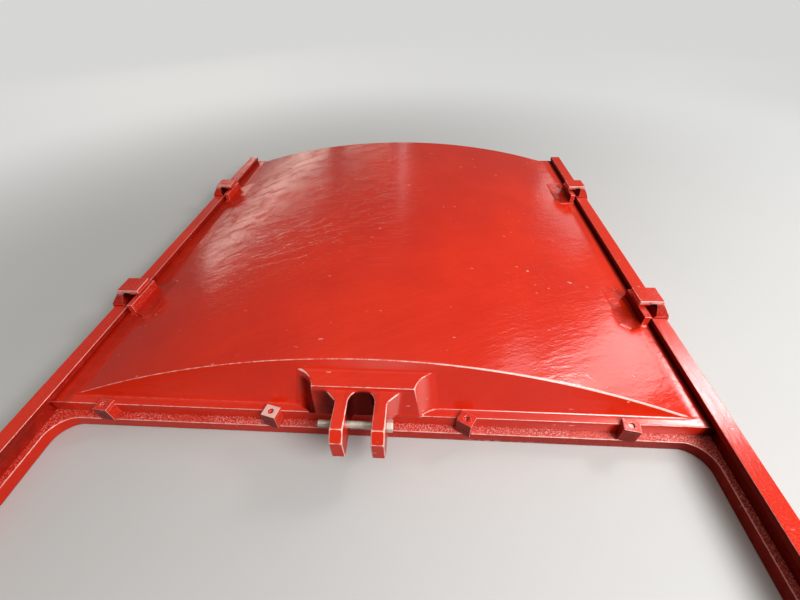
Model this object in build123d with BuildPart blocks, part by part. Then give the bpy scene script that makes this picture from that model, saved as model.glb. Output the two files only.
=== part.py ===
"""Cast iron sluice gate, closed, lying on its back with the arched leaf upwards.

+X is across the gate, +Y runs down the gate from the hoist end to the sill, +Z stands away from the wall face.
The origin is in the middle of the frame's back face.
"""

from build123d import *
import math
import os

os.makedirs("parts", exist_ok=True)

# Clear opening and the frame round it
opening_width = 1800.0
opening_height = 1800.0
frame_thickness = 41.0
frame_side_width = 132.0
top_beam_width = 70.0
sill_beam_width = 70.0
rail_run_on = 950.0
corner_radius = 70.0
frame_edge_chamfer = 4.0

# Guide rails
rail_width = 52.0
rail_height = 74.0
rail_lip_thickness = 19.0
rail_lip_reach = 20.0
rail_sill_setback = 23.0
rail_edge_round = 3.0

# Bronze sealing strips
seal_width = 34.0
seal_inset = 5.0
seal_proud = 2.0
seal_groove_depth = 6.0
seal_gap = 0.3

# Leaf
leaf_lap = 47.0
leaf_side_clearance = 5.0
leaf_flange_thickness = 45.0
leaf_ledge = 27.0
arch_side_ledge = 58.0
arch_rise = 152.0
shell_thickness = 22.0
end_wall_thickness = 22.0
end_wall_lean = 20.5
arch_edge_round = 5.0
leaf_edge_round = 3.0
rib_count = 3
rib_thickness = 18.0
rib_depth = 60.0

# Lifting boss, its two ears and the pin
boss_top_width = 292.0
boss_foot_width = 322.0
boss_height = 116.0
boss_front_setback = 13.0
boss_flare = 66.0
boss_edge_round = 4.0
ear_gap = 73.0
ear_thickness = 36.0
ear_reach = 134.0
ear_height = 98.0
ear_foot_gap = 6.0
ear_nose_cut = 27.0
ear_root_width = 28.0
ear_root_depth = 38.0
ear_root_chamfer = 36.0
ear_edge_round = 2.0
pin_diameter = 20.0
pin_hole_clearance = 0.4
pin_from_ear_front = 70.0
pin_above_ear_foot = 47.0
pin_overrun = 46.0
pin_head_across_flats = 30.0
pin_head_thickness = 16.0

# Wedge blocks on the leaf and the hook brackets on the rails
wedge_block_width = 22.0
wedge_block_length = 157.0
wedge_block_thick_end = 36.0
wedge_block_thin_end = 32.0
wedge_block_rail_gap = 14.0
wedge_block_edge_round = 1.5
wedge_pad_height = 8.0
wedge_pad_margin = 8.0
wedge_pad_reach = 89.0
wedge_pad_rise = 20.0
wedge_pad_shoulder = 50.0
wedge_pad_overrun = 42.0
wedge_pad_corner_round = 20.0
wedge_running_gap = 5.0
wedge_shoe_thickness = 8.0
wedge_shoe_taper = 2.0
wedge_near_position = 460.0
wedge_block_lead = 16.0
bracket_plate_length = 80.0
bracket_plate_thickness = 13.0
bracket_plate_overhang = 38.0
bracket_wall_thickness = 20.0
bracket_wall_inset = 7.0
bracket_foot_inset = 5.0
bracket_foot_thickness = 12.0
bracket_foot_spread = 38.0
bracket_leg_thickness = 8.0
bracket_leg_drop = 36.0
bracket_edge_round = 3.0
bracket_bolt_diameter = 16.0
bracket_bolt_head = 24.0
bracket_bolt_head_thickness = 10.0
bracket_bolt_depth = 20.0
bracket_bolt_spacing = 60.0
bracket_bolt_below_rail_top = 18.0

# Cleats over the leaf's near edge
cleat_length = 46.0
cleat_width = 38.0
cleat_cap = 12.0
cleat_foot_gap = 5.0
cleat_offset = 9.0
cleat_edge_round = 1.5
cleat_screw_diameter = 16.0
cleat_screw_clearance = 0.3
cleat_screw_recess = 5.0
cleat_left_insets = [192.0, 714.0]
cleat_right_insets = [699.0, 240.0]
cleat_turns = [-5.0, -14.0, -31.0, -10.0]

# Places along the gate, worked out from the sizes above
frame_length = rail_run_on + top_beam_width + opening_height + sill_beam_width
y_sill_end = frame_length / 2
y_rail_end = -frame_length / 2
y_opening_sill = y_sill_end - sill_beam_width
y_opening_top = y_opening_sill - opening_height
y_beam_face = y_opening_top - top_beam_width
y_opening_middle = (y_opening_sill + y_opening_top) / 2
y_leaf_near = y_opening_top - leaf_lap
y_leaf_far = y_opening_sill + leaf_lap
leaf_length = y_leaf_far - y_leaf_near
y_wall_near = y_leaf_near + leaf_ledge
y_wall_far = y_leaf_far - leaf_ledge

# Places across the gate
x_frame_edge = opening_width / 2 + frame_side_width
x_rail_inner = x_frame_edge - rail_width
x_rail_web = x_rail_inner + rail_lip_reach
x_leaf_edge = x_rail_web - leaf_side_clearance
x_springing = x_leaf_edge - arch_side_ledge

# Levels above the wall face
z_frame_seal = frame_thickness + seal_proud
z_leaf_seal = z_frame_seal + seal_gap
z_leaf_back = z_leaf_seal + seal_proud
z_leaf_top = z_leaf_back + leaf_flange_thickness
z_rail_top = frame_thickness + rail_height
z_boss_top = z_leaf_top + boss_height
z_ear_foot = z_leaf_top + ear_foot_gap
z_ear_top = z_ear_foot + ear_height

# The barrel of the leaf: one circle through the springings and the crown
arch_radius = (x_springing**2 + arch_rise**2) / (2 * arch_rise)
z_arch_centre = z_leaf_top + arch_rise - arch_radius
lean = math.tan(math.radians(end_wall_lean))
end_wall_foot = end_wall_thickness / math.cos(math.radians(end_wall_lean))


def half_chord(radius, level):
    """Half the chord that a circle about the barrel's axis has at a level."""
    return math.sqrt(radius**2 - (level - z_arch_centre) ** 2)


def barrel(radius, level, y_near, y_far, edge_round):
    """Barrel segment above a level, with both end walls leaning inwards and their top edges rounded."""
    half = half_chord(radius, level)
    with BuildPart() as segment:
        with BuildSketch(Plane.XZ.offset(-y_far)):
            with BuildLine():
                ThreePointArc((-half, level), (0, z_arch_centre + radius), (half, level))
                Line((half, level), (-half, level))
            make_face()
        extrude(amount=y_far - y_near)
        near_plane = Plane(origin=(0, y_near, level), x_dir=(1, 0, 0), z_dir=(0, 1, -lean))
        far_plane = Plane(origin=(0, y_far, level), x_dir=(1, 0, 0), z_dir=(0, -1, -lean))
        split(bisect_by=near_plane, keep=Keep.TOP)
        split(bisect_by=far_plane, keep=Keep.TOP)
        if edge_round:
            fillet(segment.faces().filter_by(GeomType.CYLINDER).edges().sort_by(Axis.Y)[0], edge_round)
            fillet(segment.faces().filter_by(GeomType.CYLINDER).edges().sort_by(Axis.Y)[-1], edge_round)
    return segment.part


def write(piece, name):
    """Name a finished piece and write it."""
    piece.label = name
    export_step(piece, f"parts/{name}.step")


# Places of the wedges: a quarter of the way from each end of the leaf
wedge_positions = [
    y_wall_near + wedge_near_position - wedge_block_lead,
    y_wall_far - wedge_near_position - wedge_block_lead,
]
x_block_outer = x_rail_inner - wedge_block_rail_gap
y_pin = y_leaf_near - ear_reach + pin_from_ear_front
z_pin = z_ear_foot + pin_above_ear_foot
z_bracket_bolt = z_rail_top - bracket_bolt_below_rail_top

# Sealing strips: middle and extent of each, the side strips full length and the cross strips between them
x_seal = opening_width / 2 + seal_inset + seal_width / 2
y_seal_top = y_opening_top - seal_inset - seal_width / 2
y_seal_sill = y_opening_sill + seal_inset + seal_width / 2
seal_side_length = y_seal_sill - y_seal_top + seal_width
seal_cross_length = 2 * x_seal - seal_width
y_seal_middle = (y_seal_top + y_seal_sill) / 2

seal_strips = {
    "left": (-x_seal, y_seal_middle, seal_width, seal_side_length),
    "right": (x_seal, y_seal_middle, seal_width, seal_side_length),
    "top": (0, y_seal_top, seal_cross_length, seal_width),
    "sill": (0, y_seal_sill, seal_cross_length, seal_width),
}


# Frame: one casting, a ring round the opening with two arms that carry the rails on past the top beam
with BuildPart() as frame_casting:
    with BuildSketch(Plane.XY):
        with Locations((0, (y_beam_face + y_sill_end) / 2)):
            Rectangle(2 * x_frame_edge, y_sill_end - y_beam_face)
        for side in (-1, 1):
            with Locations((side * (x_frame_edge - rail_width / 2), 0)):
                Rectangle(rail_width, frame_length)
            with BuildLine():
                corner = (side * x_rail_inner, y_beam_face)
                along = (side * (x_rail_inner - corner_radius), y_beam_face)
                down = (side * x_rail_inner, y_beam_face - corner_radius)
                Line(corner, along)
                RadiusArc(along, down, side * corner_radius)
                Line(down, corner)
            make_face()
        with Locations((0, y_opening_middle)):
            Rectangle(opening_width, opening_height, mode=Mode.SUBTRACT)
    extrude(amount=frame_thickness)
    beam_edge = frame_casting.edges().filter_by(Axis.X).group_by(Axis.Z)[-1].sort_by(Axis.Y)
    chamfer([edge for edge in beam_edge if abs(edge.center().Y - y_beam_face) < 0.1], frame_edge_chamfer)
    # Grooves for the sealing strips
    for x, y, across, along in seal_strips.values():
        with BuildSketch(Plane.XY.offset(frame_thickness - seal_groove_depth)):
            with Locations((x, y)):
                Rectangle(across, along)
        extrude(amount=seal_groove_depth, mode=Mode.SUBTRACT)
write(frame_casting.part, "frame_casting")

# Bronze strips in the frame and on the back of the leaf
for place, (x, y, across, along) in seal_strips.items():
    with BuildPart() as frame_seal:
        with BuildSketch(Plane.XY.offset(frame_thickness - seal_groove_depth)):
            with Locations((x, y)):
                Rectangle(across, along)
        extrude(amount=seal_groove_depth + seal_proud)
    write(frame_seal.part, f"frame_seal_{place}")
    with BuildPart() as leaf_seal:
        with BuildSketch(Plane.XY.offset(z_leaf_seal)):
            with Locations((x, y)):
                Rectangle(across, along)
        extrude(amount=seal_groove_depth + seal_proud)
    write(leaf_seal.part, f"leaf_seal_{place}")

# Guide rails: a bar with a groove for the leaf's edge, seated on the frame and its arms
rail_start = y_sill_end - rail_sill_setback
for name, side in (("left", -1), ("right", 1)):
    with BuildPart() as guide_rail:
        with BuildSketch(Plane.XZ.offset(-rail_start)):
            with BuildLine():
                Polyline(
                    (side * x_rail_web, frame_thickness),
                    (side * x_frame_edge, frame_thickness),
                    (side * x_frame_edge, z_rail_top),
                    (side * x_rail_inner, z_rail_top),
                    (side * x_rail_inner, z_rail_top - rail_lip_thickness),
                    (side * x_rail_web, z_rail_top - rail_lip_thickness),
                    close=True,
                )
            make_face()
        extrude(amount=rail_start - y_rail_end)
        top_edges = guide_rail.edges().filter_by(Axis.Y).group_by(Axis.Z)[-1]
        fillet(top_edges, rail_edge_round)
        # Blind holes for the bracket bolts
        for y in wedge_positions:
            with BuildSketch(Plane.YZ.offset(side * (x_frame_edge - bracket_bolt_depth))):
                with Locations((y + wedge_block_lead - bracket_foot_spread / 2, z_bracket_bolt)):
                    with GridLocations(bracket_bolt_spacing, 0, 2, 1):
                        Circle(bracket_bolt_diameter / 2)
            extrude(amount=side * bracket_bolt_depth, mode=Mode.SUBTRACT)
    write(guide_rail.part, f"{name}_guide_rail")

# Leaf: one casting of flange, barrel panel, end walls, inner ribs, lifting boss and ears
y_boss_front = y_leaf_near
y_ear_front = y_boss_front - ear_reach
y_ear_root = y_boss_front + boss_front_setback * (z_ear_top - z_leaf_top) / boss_height
outer_barrel = barrel(arch_radius, z_leaf_top, y_wall_near, y_wall_far, arch_edge_round)
inner_barrel = barrel(
    arch_radius - shell_thickness, z_leaf_top, y_wall_near + end_wall_foot, y_wall_far - end_wall_foot, 0
)
x_pocket = half_chord(arch_radius - shell_thickness, z_leaf_top)

# Lifting boss, wider at its foot, with flared sides and a front that leans back from below the ledge's round
with BuildPart() as lifting_boss:
    for level, width, y_front in (
        (z_leaf_top - leaf_edge_round, boss_foot_width, y_boss_front),
        (z_boss_top, boss_top_width, y_boss_front + boss_front_setback),
    ):
        y_wall = y_wall_near + lean * (level - z_leaf_top)
        y_back = y_wall + end_wall_foot / 2
        corner = width / 2
        tip = corner + boss_flare
        with BuildSketch(Plane.XY.offset(level)):
            with BuildLine():
                Line((-corner, y_front), (corner, y_front))
                TangentArc((tip, y_wall), (corner, y_front), tangent=(-1, 0))
                Polyline((tip, y_wall), (tip, y_back), (-tip, y_back), (-tip, y_wall))
                TangentArc((-tip, y_wall), (-corner, y_front), tangent=(1, 0))
            make_face()
    loft()
    front_edge = lifting_boss.edges().filter_by(Axis.X).group_by(Axis.Z)[-1].sort_by(Axis.Y)[0]
    fillet(front_edge, boss_edge_round)

# Ears of the boss, each with a round root inside, a chamfered root outside and a cut nose
with BuildPart() as lifting_ears:
    for side in (-1, 1):
        inner = side * ear_gap / 2
        outer = side * (ear_gap / 2 + ear_thickness)
        with BuildSketch(Plane.XY.offset(z_ear_foot)):
            with BuildLine():
                TangentArc(
                    (inner, y_ear_root - ear_root_depth),
                    (inner - side * ear_root_width, y_ear_root),
                    tangent=(0, 1),
                )
                Polyline(
                    (inner - side * ear_root_width, y_ear_root),
                    (inner - side * ear_root_width, y_wall_near),
                    (outer + side * ear_root_chamfer, y_wall_near),
                    (outer + side * ear_root_chamfer, y_ear_root),
                    (outer, y_ear_root - ear_root_chamfer),
                    (outer, y_ear_front),
                    (inner, y_ear_front),
                    (inner, y_ear_root - ear_root_depth),
                )
            make_face()
        extrude(amount=ear_height)
    nose_edges = lifting_ears.edges().filter_by(Axis.X).group_by(Axis.Y)[0].group_by(Axis.Z)[-1]
    chamfer(nose_edges, ear_nose_cut)
    nose_faces = lifting_ears.faces().filter_by(Axis.Y).group_by(Axis.Y)[0]
    fillet(nose_faces.edges(), ear_edge_round)

# Pads for the wedge blocks: flat under the block, then rising with the barrel until they run into it
z_block_foot = z_leaf_top + wedge_pad_height
x_block_inner = x_block_outer - wedge_block_width
x_pad_outer = x_block_outer + wedge_pad_margin
x_pad_inner = x_block_inner - wedge_pad_reach
wedge_pads = []
for side in (-1, 1):
    for y in wedge_positions:
        reach = wedge_block_length / 2 + wedge_pad_overrun
        with BuildPart() as wedge_pad:
            with BuildSketch(Plane.XZ.offset(-y)):
                with BuildLine():
                    Polyline(
                        (side * x_pad_outer, z_leaf_top - wedge_pad_height),
                        (side * x_pad_outer, z_block_foot),
                        (side * (x_block_inner - wedge_pad_margin), z_block_foot),
                        (side * x_pad_inner, z_block_foot + wedge_pad_rise),
                        (side * x_pad_inner, z_leaf_top - wedge_pad_height),
                        close=True,
                    )
                make_face()
            extrude(amount=reach, both=True)
            # The pad's ends run out to a shoulder beside the block
            with BuildSketch(Plane.XY.offset(z_leaf_top - wedge_pad_height)) as outline:
                with BuildLine():
                    Polyline(
                        (side * x_pad_outer, y - reach + wedge_pad_overrun - wedge_pad_margin),
                        (side * x_block_inner, y - reach + wedge_pad_overrun - wedge_pad_margin),
                        (side * (x_block_inner - wedge_pad_shoulder), y - reach),
                        (side * x_pad_inner, y - reach + wedge_pad_overrun / 2),
                        (side * x_pad_inner, y + reach - wedge_pad_overrun / 2),
                        (side * (x_block_inner - wedge_pad_shoulder), y + reach),
                        (side * x_block_inner, y + reach - wedge_pad_overrun + wedge_pad_margin),
                        (side * x_pad_outer, y + reach - wedge_pad_overrun + wedge_pad_margin),
                        close=True,
                    )
                make_face()
                fillet(outline.vertices().group_by(Axis.Y)[0], wedge_pad_corner_round)
                fillet(outline.vertices().group_by(Axis.Y)[-1], wedge_pad_corner_round)
            extrude(amount=wedge_pad_rise + 2 * wedge_pad_height, mode=Mode.INTERSECT)
        wedge_pads.append(wedge_pad.part)

with BuildPart() as gate_leaf:
    with BuildSketch(Plane.XY.offset(z_leaf_back)):
        with Locations((0, y_opening_middle)):
            Rectangle(2 * x_leaf_edge, leaf_length)
    extrude(amount=leaf_flange_thickness)
    fillet(gate_leaf.faces().sort_by(Axis.Z)[-1].edges(), leaf_edge_round)
    add(outer_barrel)
    add(lifting_boss.part)
    add(lifting_ears.part)
    for pad in wedge_pads:
        add(pad)
    # Hollow back: the inner barrel and the pocket under it
    add(inner_barrel, mode=Mode.SUBTRACT)
    with BuildSketch(Plane.XY.offset(z_leaf_back)):
        with Locations((0, y_opening_middle)):
            Rectangle(2 * x_pocket, leaf_length - 2 * (leaf_ledge + end_wall_foot))
    extrude(amount=leaf_flange_thickness, mode=Mode.SUBTRACT)
    # Arched ribs across the hollow, spaced evenly, run a little into the panel
    rib_spacing = (y_wall_far - y_wall_near) / (rib_count + 1)
    rib_outer = arch_radius - shell_thickness / 2
    rib_inner = arch_radius - shell_thickness - rib_depth
    rib_foot = half_chord(rib_inner, z_leaf_top)
    for number in range(1, rib_count + 1):
        with BuildSketch(Plane.XZ.offset(-(y_wall_near + number * rib_spacing + rib_thickness / 2))):
            with BuildLine():
                Line((half_chord(rib_outer, z_leaf_top), z_leaf_top), (rib_foot, z_leaf_top))
                ThreePointArc(
                    (rib_foot, z_leaf_top), (0, z_arch_centre + rib_inner), (-rib_foot, z_leaf_top)
                )
                Line((-rib_foot, z_leaf_top), (-half_chord(rib_outer, z_leaf_top), z_leaf_top))
                ThreePointArc(
                    (-half_chord(rib_outer, z_leaf_top), z_leaf_top),
                    (0, z_arch_centre + rib_outer),
                    (half_chord(rib_outer, z_leaf_top), z_leaf_top),
                )
            make_face()
        extrude(amount=rib_thickness)
    # Grooves for the sealing strips
    for x, y, across, along in seal_strips.values():
        with BuildSketch(Plane.XY.offset(z_leaf_back)):
            with Locations((x, y)):
                Rectangle(across, along)
        extrude(amount=seal_groove_depth, mode=Mode.SUBTRACT)
    # Holes for the lifting pin
    with BuildSketch(Plane.YZ.offset(-ear_gap / 2 - ear_thickness)):
        with Locations((y_pin, z_pin)):
            Circle(pin_diameter / 2 + pin_hole_clearance)
    extrude(amount=ear_gap + 2 * ear_thickness, mode=Mode.SUBTRACT)
write(gate_leaf.part, "gate_leaf")

# Lifting pin: a hex bolt through both ears
x_ear_outer = ear_gap / 2 + ear_thickness
with BuildPart() as lifting_pin:
    with BuildSketch(Plane.YZ.offset(-x_ear_outer - pin_overrun)):
        with Locations((y_pin, z_pin)):
            Circle(pin_diameter / 2)
    extrude(amount=2 * x_ear_outer + pin_overrun)
    with BuildSketch(Plane.YZ.offset(x_ear_outer)):
        with Locations((y_pin, z_pin)):
            RegularPolygon(pin_head_across_flats / 2, 6, major_radius=False)
    extrude(amount=pin_head_thickness)
write(lifting_pin.part, "lifting_pin")

# Wedge blocks, brackets, shoes and bolts, two on each side
z_block_top = z_block_foot + wedge_block_thick_end
z_shoe_foot = z_block_top + wedge_running_gap
z_plate_foot = z_shoe_foot + wedge_shoe_thickness
z_plate_top = z_plate_foot + bracket_plate_thickness
x_wall_outer = x_frame_edge - bracket_wall_inset
x_leg_outer = x_frame_edge + bracket_leg_thickness
x_plate_inner = x_rail_inner - bracket_plate_overhang
for side_name, side in (("left", -1), ("right", 1)):
    for row_name, y in zip(("head", "sill"), wedge_positions):
        y_near = y - wedge_block_length / 2
        y_far = y + wedge_block_length / 2
        with BuildPart() as wedge_block:
            with BuildSketch(Plane.YZ.offset(side * x_block_outer)):
                with BuildLine():
                    Polyline(
                        (y_near, z_block_foot),
                        (y_far, z_block_foot),
                        (y_far, z_block_foot + wedge_block_thin_end),
                        (y_near, z_block_top),
                        close=True,
                    )
                make_face()
            extrude(amount=-side * wedge_block_width)
            fillet(wedge_block.faces().sort_by(Axis.Z)[-1].edges(), wedge_block_edge_round)
        write(wedge_block.part, f"{side_name}_{row_name}_wedge_block")

        y_plate = y + wedge_block_lead
        y_plate_near = y_plate - bracket_plate_length / 2
        y_plate_far = y_plate + bracket_plate_length / 2
        y_leg_near = y_plate_near - bracket_foot_spread
        y_bolts = (y_leg_near + y_plate_far) / 2
        with BuildPart() as wedge_bracket:
            # Hook section: leg on the rail's outer face, foot on its top, wall and the plate over the block
            with BuildSketch(Plane.XZ.offset(-y_plate_far)):
                with BuildLine():
                    Polyline(
                        (side * x_frame_edge, z_rail_top - bracket_leg_drop),
                        (side * x_leg_outer, z_rail_top - bracket_leg_drop),
                        (side * x_leg_outer, z_rail_top),
                        (side * x_wall_outer, z_plate_top),
                        (side * x_plate_inner, z_plate_top),
                        (side * x_plate_inner, z_plate_foot),
                        (side * (x_wall_outer - bracket_wall_thickness), z_plate_foot),
                        (side * (x_rail_inner + bracket_foot_inset), z_rail_top),
                        (side * x_frame_edge, z_rail_top),
                        close=True,
                    )
                make_face()
            extrude(amount=y_plate_far - y_leg_near)
            # The near end leans back from the foot to the plate
            with BuildSketch(Plane.YZ):
                with BuildLine():
                    Polyline(
                        (y_plate_near, z_plate_top),
                        (y_plate_near, z_plate_foot),
                        (y_leg_near, z_rail_top + bracket_foot_thickness),
                        (y_leg_near, z_plate_top),
                        close=True,
                    )
                make_face()
            extrude(amount=x_leg_outer, both=True, mode=Mode.SUBTRACT)
            fillet(wedge_bracket.edges().filter_by(Axis.Y).group_by(Axis.Z)[-1], bracket_edge_round)
            with BuildSketch(Plane.YZ.offset(side * x_frame_edge)):
                with Locations((y_bolts, z_bracket_bolt)):
                    with GridLocations(bracket_bolt_spacing, 0, 2, 1):
                        Circle(bracket_bolt_diameter / 2)
            extrude(amount=side * bracket_leg_thickness, mode=Mode.SUBTRACT)
        write(wedge_bracket.part, f"{side_name}_{row_name}_wedge_bracket")

        with BuildPart() as wedge_shoe:
            with BuildSketch(Plane.YZ.offset(side * x_plate_inner)):
                with BuildLine():
                    Polyline(
                        (y_plate_near, z_plate_foot),
                        (y_plate_far, z_plate_foot),
                        (y_plate_far, z_shoe_foot),
                        (y_plate_near, z_shoe_foot + wedge_shoe_taper),
                        close=True,
                    )
                make_face()
            extrude(amount=side * bracket_plate_overhang)
        write(wedge_shoe.part, f"{side_name}_{row_name}_wedge_shoe")

        with BuildPart() as bracket_bolts:
            with BuildSketch(Plane.YZ.offset(side * (x_frame_edge - bracket_bolt_depth))):
                with Locations((y_bolts, z_bracket_bolt)):
                    with GridLocations(bracket_bolt_spacing, 0, 2, 1):
                        Circle(bracket_bolt_diameter / 2)
            extrude(amount=side * (bracket_bolt_depth + bracket_leg_thickness))
            with BuildSketch(Plane.YZ.offset(side * x_leg_outer)):
                with Locations((y_bolts, z_bracket_bolt)):
                    with GridLocations(bracket_bolt_spacing, 0, 2, 1):
                        RegularPolygon(bracket_bolt_head / 2, 6, major_radius=False)
            extrude(amount=side * bracket_bolt_head_thickness)
        write(bracket_bolts.part, f"{side_name}_{row_name}_bracket_bolts")

# Cleats: small stepped blocks that sit on the leaf's ledge and hang down in front of its near edge
z_cleat_foot = frame_thickness + cleat_foot_gap
z_cleat_top = z_leaf_top + cleat_cap
y_cleat = y_leaf_near - cleat_offset
cleat_positions = [inset - x_leaf_edge for inset in cleat_left_insets]
cleat_positions += [x_leaf_edge - inset for inset in cleat_right_insets]
for number, (x, turn) in enumerate(zip(cleat_positions, cleat_turns), start=1):
    with BuildPart() as leaf_cleat:
        with BuildSketch(Plane.XY.offset(z_cleat_foot)):
            with Locations(Location((x, y_cleat, 0), (0, 0, turn))):
                Rectangle(cleat_length, cleat_width)
        extrude(amount=z_cleat_top - z_cleat_foot)
        fillet(leaf_cleat.faces().sort_by(Axis.Z)[-1].edges(), cleat_edge_round)
        with BuildSketch(Plane.XY.offset(z_leaf_top)):
            with Locations((x, y_leaf_near + leaf_ledge)):
                Rectangle(2 * cleat_length, 2 * leaf_ledge)
        extrude(amount=-leaf_flange_thickness, mode=Mode.SUBTRACT)
        with BuildSketch(Plane.XY.offset(z_cleat_foot)):
            with Locations((x, y_cleat)):
                Circle(cleat_screw_diameter / 2 + cleat_screw_clearance)
        extrude(amount=z_cleat_top - z_cleat_foot, mode=Mode.SUBTRACT)
    write(leaf_cleat.part, f"leaf_cleat_{number}")

# Screws in the cleats, their tops a little below the cleats' faces
with BuildPart() as cleat_screws:
    with BuildSketch(Plane.XY.offset(z_cleat_foot)):
        with Locations([(x, y_cleat) for x in cleat_positions]):
            Circle(cleat_screw_diameter / 2)
    extrude(amount=z_cleat_top - z_cleat_foot - cleat_screw_recess)
write(cleat_screws.part, "cleat_screws")
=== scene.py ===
"""Looks of a cast iron sluice gate: painted castings, bronze strips and a zinc pin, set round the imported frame.

Metres. +X is across the gate, +Y runs down it from the hoist end to the sill, +Z stands away from the wall face.
"""
import bpy
import bmesh
import math
import numpy as np
from mathutils import Matrix, Vector
from mathutils.geometry import tessellate_polygon


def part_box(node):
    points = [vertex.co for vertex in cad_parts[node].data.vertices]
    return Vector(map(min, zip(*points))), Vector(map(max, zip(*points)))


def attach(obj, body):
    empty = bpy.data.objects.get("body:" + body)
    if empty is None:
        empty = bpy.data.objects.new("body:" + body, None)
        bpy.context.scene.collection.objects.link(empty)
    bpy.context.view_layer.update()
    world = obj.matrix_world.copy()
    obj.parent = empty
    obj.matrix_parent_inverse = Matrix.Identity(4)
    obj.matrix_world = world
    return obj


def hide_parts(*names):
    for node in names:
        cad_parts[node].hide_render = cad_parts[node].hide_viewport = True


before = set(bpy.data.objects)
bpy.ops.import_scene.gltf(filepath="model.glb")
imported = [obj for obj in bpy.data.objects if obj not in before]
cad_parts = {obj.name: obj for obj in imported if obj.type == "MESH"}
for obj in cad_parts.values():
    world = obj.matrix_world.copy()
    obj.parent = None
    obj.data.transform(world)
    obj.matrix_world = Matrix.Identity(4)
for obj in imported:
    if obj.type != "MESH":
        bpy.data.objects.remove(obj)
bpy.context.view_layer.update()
scene = bpy.context.scene


# Frame casting. One grey iron ring round the water opening, whose two sides run on past the top beam as arms for
# the rails. The beam's top was left rough from the sand and painted over. Edges are broken by hand grinding.
class Wire:
    """A shader socket. Sums with wires or numbers add Math nodes, maths() adds one by the name of its operation,
    and node() adds any other node."""

    def __init__(self, tree, socket=None):
        self.tree = tree
        self.socket = socket

    def node(self, kind, settings, sockets, output=0):
        made = self.tree.nodes.new(kind)
        for name, value in settings.items():
            setattr(made, name, value)
        for name, value in sockets.items():
            if isinstance(value, Wire):
                self.tree.links.new(value.socket, made.inputs[name])
            else:
                made.inputs[name].default_value = value
        return Wire(self.tree, made.outputs[output])

    def maths(self, operation, *values):
        return self.node("ShaderNodeMath", {"operation": operation}, dict(enumerate(values)))

    def __add__(self, other):
        return self.maths("ADD", self, other)

    def __radd__(self, other):
        return self.maths("ADD", other, self)

    def __sub__(self, other):
        return self.maths("SUBTRACT", self, other)

    def __rsub__(self, other):
        return self.maths("SUBTRACT", other, self)

    def __mul__(self, other):
        return self.maths("MULTIPLY", self, other)

    def __rmul__(self, other):
        return self.maths("MULTIPLY", other, self)


unstretched = (1.0, 1.0, 1.0)


def noise(place, scale, detail=3.0, roughness=0.55, drawn_out=unstretched, turn=0.0):
    """Cloudy noise from 0 to 1 with so many lumps a metre, drawn out so many times along the axes, which are
    turned about Z by an angle in radians."""
    drawn = place.node(
        "ShaderNodeMapping",
        {"vector_type": "TEXTURE"},
        {"Vector": place, "Rotation": (0.0, 0.0, turn), "Scale": drawn_out},
    )
    return place.node(
        "ShaderNodeTexNoise", {}, {"Vector": drawn, "Scale": scale, "Detail": detail, "Roughness": roughness}
    )


def spots(place, scale):
    """Distance to the nearest of scattered points, so many a metre, as a share of their spacing."""
    return place.node("ShaderNodeTexVoronoi", {}, {"Vector": place, "Scale": scale}, "Distance")


def between(value, low, high):
    """Smooth step: zero below low, one above high."""
    return value.node(
        "ShaderNodeMapRange",
        {"interpolation_type": "SMOOTHSTEP"},
        {"Value": value, "From Min": low, "From Max": high},
    )


def mixed(share, first, second):
    """Colour between first and second by a share from 0 to 1."""
    return share.node("ShaderNodeMix", {"data_type": "RGBA"}, {0: share, 6: first, 7: second}, 2)


def trait(place, name):
    """What a mesh says of its own surface, from 0 to 1: pale edges, part abraded paint and part painted
    highlight;
    painted shade in its corners and on faces turned from the light; a painted sheen of pale pink; or scuffs. A
    little more than 1 only makes it surer."""
    return place.node("ShaderNodeAttribute", {"attribute_name": name}, {}, "Fac")


def relief(height):
    """The normal of a surface raised by a height in metres."""
    return height.node("ShaderNodeBump", {}, {"Strength": 1.0, "Distance": 1.0, "Height": height})


def finish(name):
    """New material, its shader, and the wire for the object's own place."""
    material = bpy.data.materials.new(name)
    material.use_nodes = True
    tree = material.node_tree
    return material, tree.nodes["Principled BSDF"], Wire(tree).node("ShaderNodeTexCoord", {}, {}, "Object")


def feed(shader, **wires):
    """Link wires to the shader's sockets, named with an underscore for a space."""
    for name, wire in wires.items():
        wire.tree.links.new(wire.socket, shader.inputs[name.replace("_", " ")])


vermilion = (0.76, 0.027, 0.005, 1)
deep_vermilion = (0.62, 0.018, 0.004, 1)
# Pale pink of nicks and scratches, and of painted highlights, sheen and sparkle.
pale_paint_and_highlight = (0.88, 0.56, 0.50, 1)
# Dark brown of scale specks, and of painted shade in the grain's hollows.
scale_and_shade_brown = (0.055, 0.005, 0.003, 1)
shaded_paint = (0.20, 0.009, 0.004, 1)
brush_depth = 0.0030
bristle_depth = 0.0006
scuff_depth = 0.0003
peel_depth = 0.00022
grain_depth = 0.0014
chip_depth = 0.0003
crinkle_depth = 0.0014


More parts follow.
